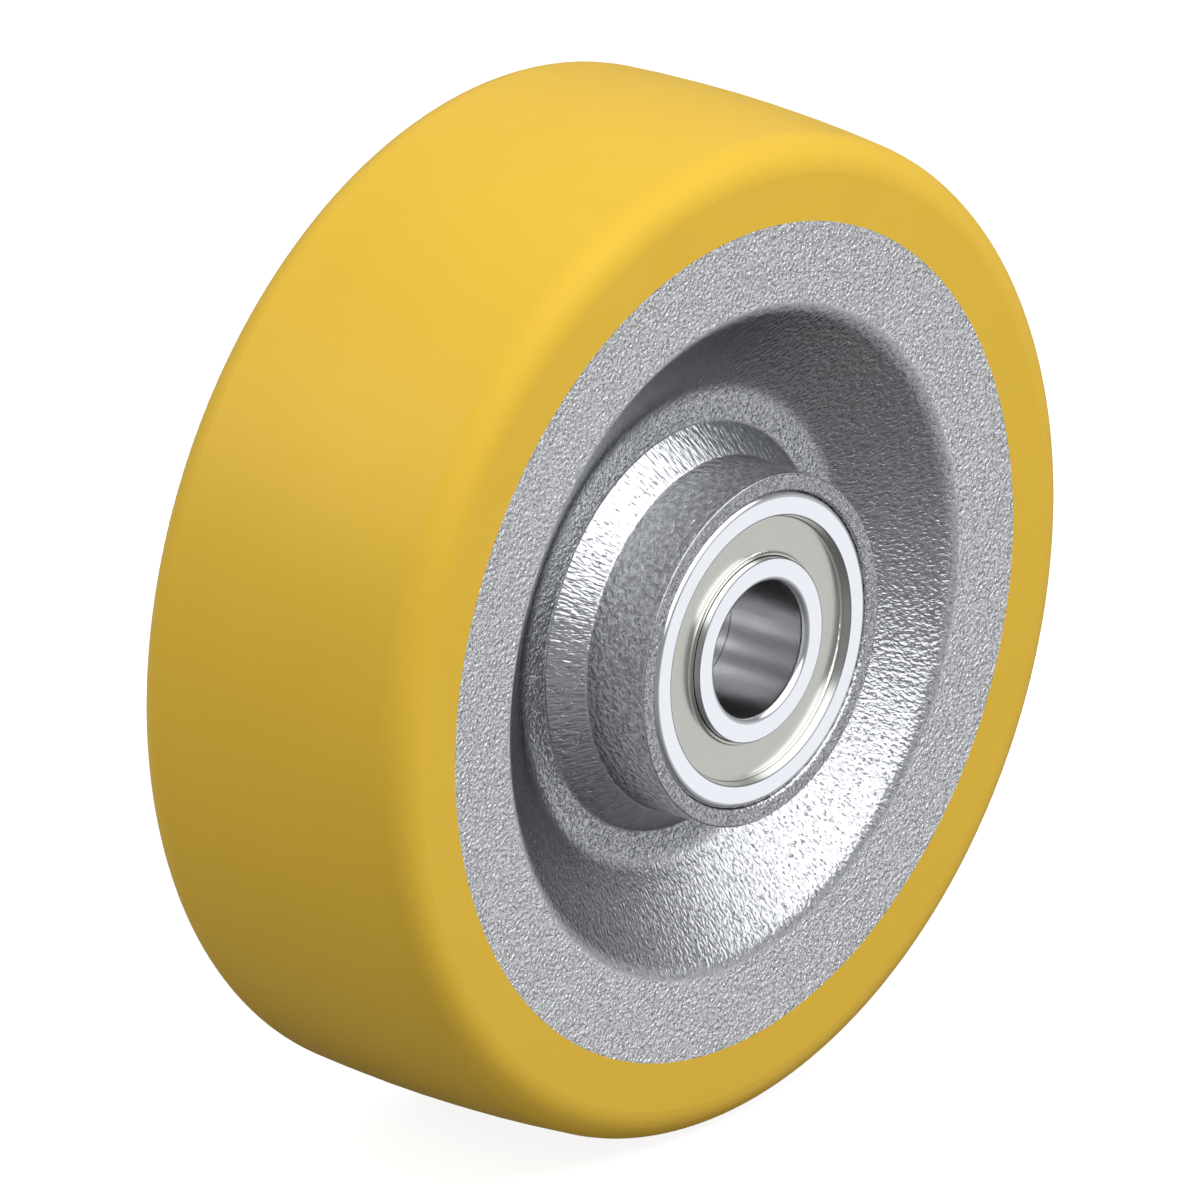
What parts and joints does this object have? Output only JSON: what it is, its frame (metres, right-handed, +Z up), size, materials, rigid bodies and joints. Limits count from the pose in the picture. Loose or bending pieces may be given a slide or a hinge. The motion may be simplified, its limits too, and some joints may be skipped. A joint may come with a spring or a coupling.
{
  "type": "caster wheel",
  "caption": "Heavy-duty caster wheel: crowned elastomer tread bonded to a dished cast-iron centre, turning on two shielded ball bearings held apart by a spacer tube.",
  "frame": {"origin": "the wheel's centre, on the axle's line midway between the hub's end faces", "axes": "+Y along the axle, +Z up; the wheel spins about Y and its two sides are alike"},
  "size_m": [0.15, 0.06, 0.15],
  "materials": {
    "tread": "satin",
    "cast_centre": "satin",
    "spacer": "satin",
    "bearing_ring": "polished",
    "shield": "satin",
    "ball": "polished",
    "cage": "satin"
  },
  "bodies": {
    "axle_core": {"front_inner_ring": "bearing_ring", "spacer_tube": "spacer", "back_inner_ring": "bearing_ring"},
    "wheel": {"tread": "tread", "wheel_centre": "cast_centre", "front_outer_ring": "bearing_ring", "back_outer_ring": "bearing_ring", "front_outer_shield": "shield", "front_inner_shield": "shield", "back_outer_shield": "shield", "back_inner_shield": "shield"},
    "front_ball_set": {"front_ball_1": "ball", "front_ball_2": "ball", "front_ball_3": "ball", "front_ball_4": "ball", "front_ball_5": "ball", "front_ball_6": "ball", "front_ball_7": "ball", "front_ball_8": "ball", "front_cage_outer_half": "cage", "front_cage_inner_half": "cage", "front_cage_rivets": "cage"},
    "back_ball_set": {"back_ball_1": "ball", "back_ball_2": "ball", "back_ball_3": "ball", "back_ball_4": "ball", "back_ball_5": "ball", "back_ball_6": "ball", "back_ball_7": "ball", "back_ball_8": "ball", "back_cage_outer_half": "cage", "back_cage_inner_half": "cage", "back_cage_rivets": "cage"}
  },
  "joints": [
    {"name": "wheel_spin", "type": "hinge", "parent": "axle_core", "child": "wheel", "pos_m": [0, 0, 0], "axis": [0, 1, 0], "continuous": true},
    {"name": "front_cage_turn", "type": "hinge", "parent": "axle_core", "child": "front_ball_set", "pos_m": [0, -0.023, 0], "axis": [0, 1, 0], "continuous": true},
    {"name": "back_cage_turn", "type": "hinge", "parent": "axle_core", "child": "back_ball_set", "pos_m": [0, 0.023, 0], "axis": [0, 1, 0], "continuous": true}
  ],
  "couplings": [
    {"joint": "front_cage_turn", "follows": "wheel_spin", "ratio": 0.6185},
    {"joint": "back_cage_turn", "follows": "wheel_spin", "ratio": 0.6185}
  ]
}
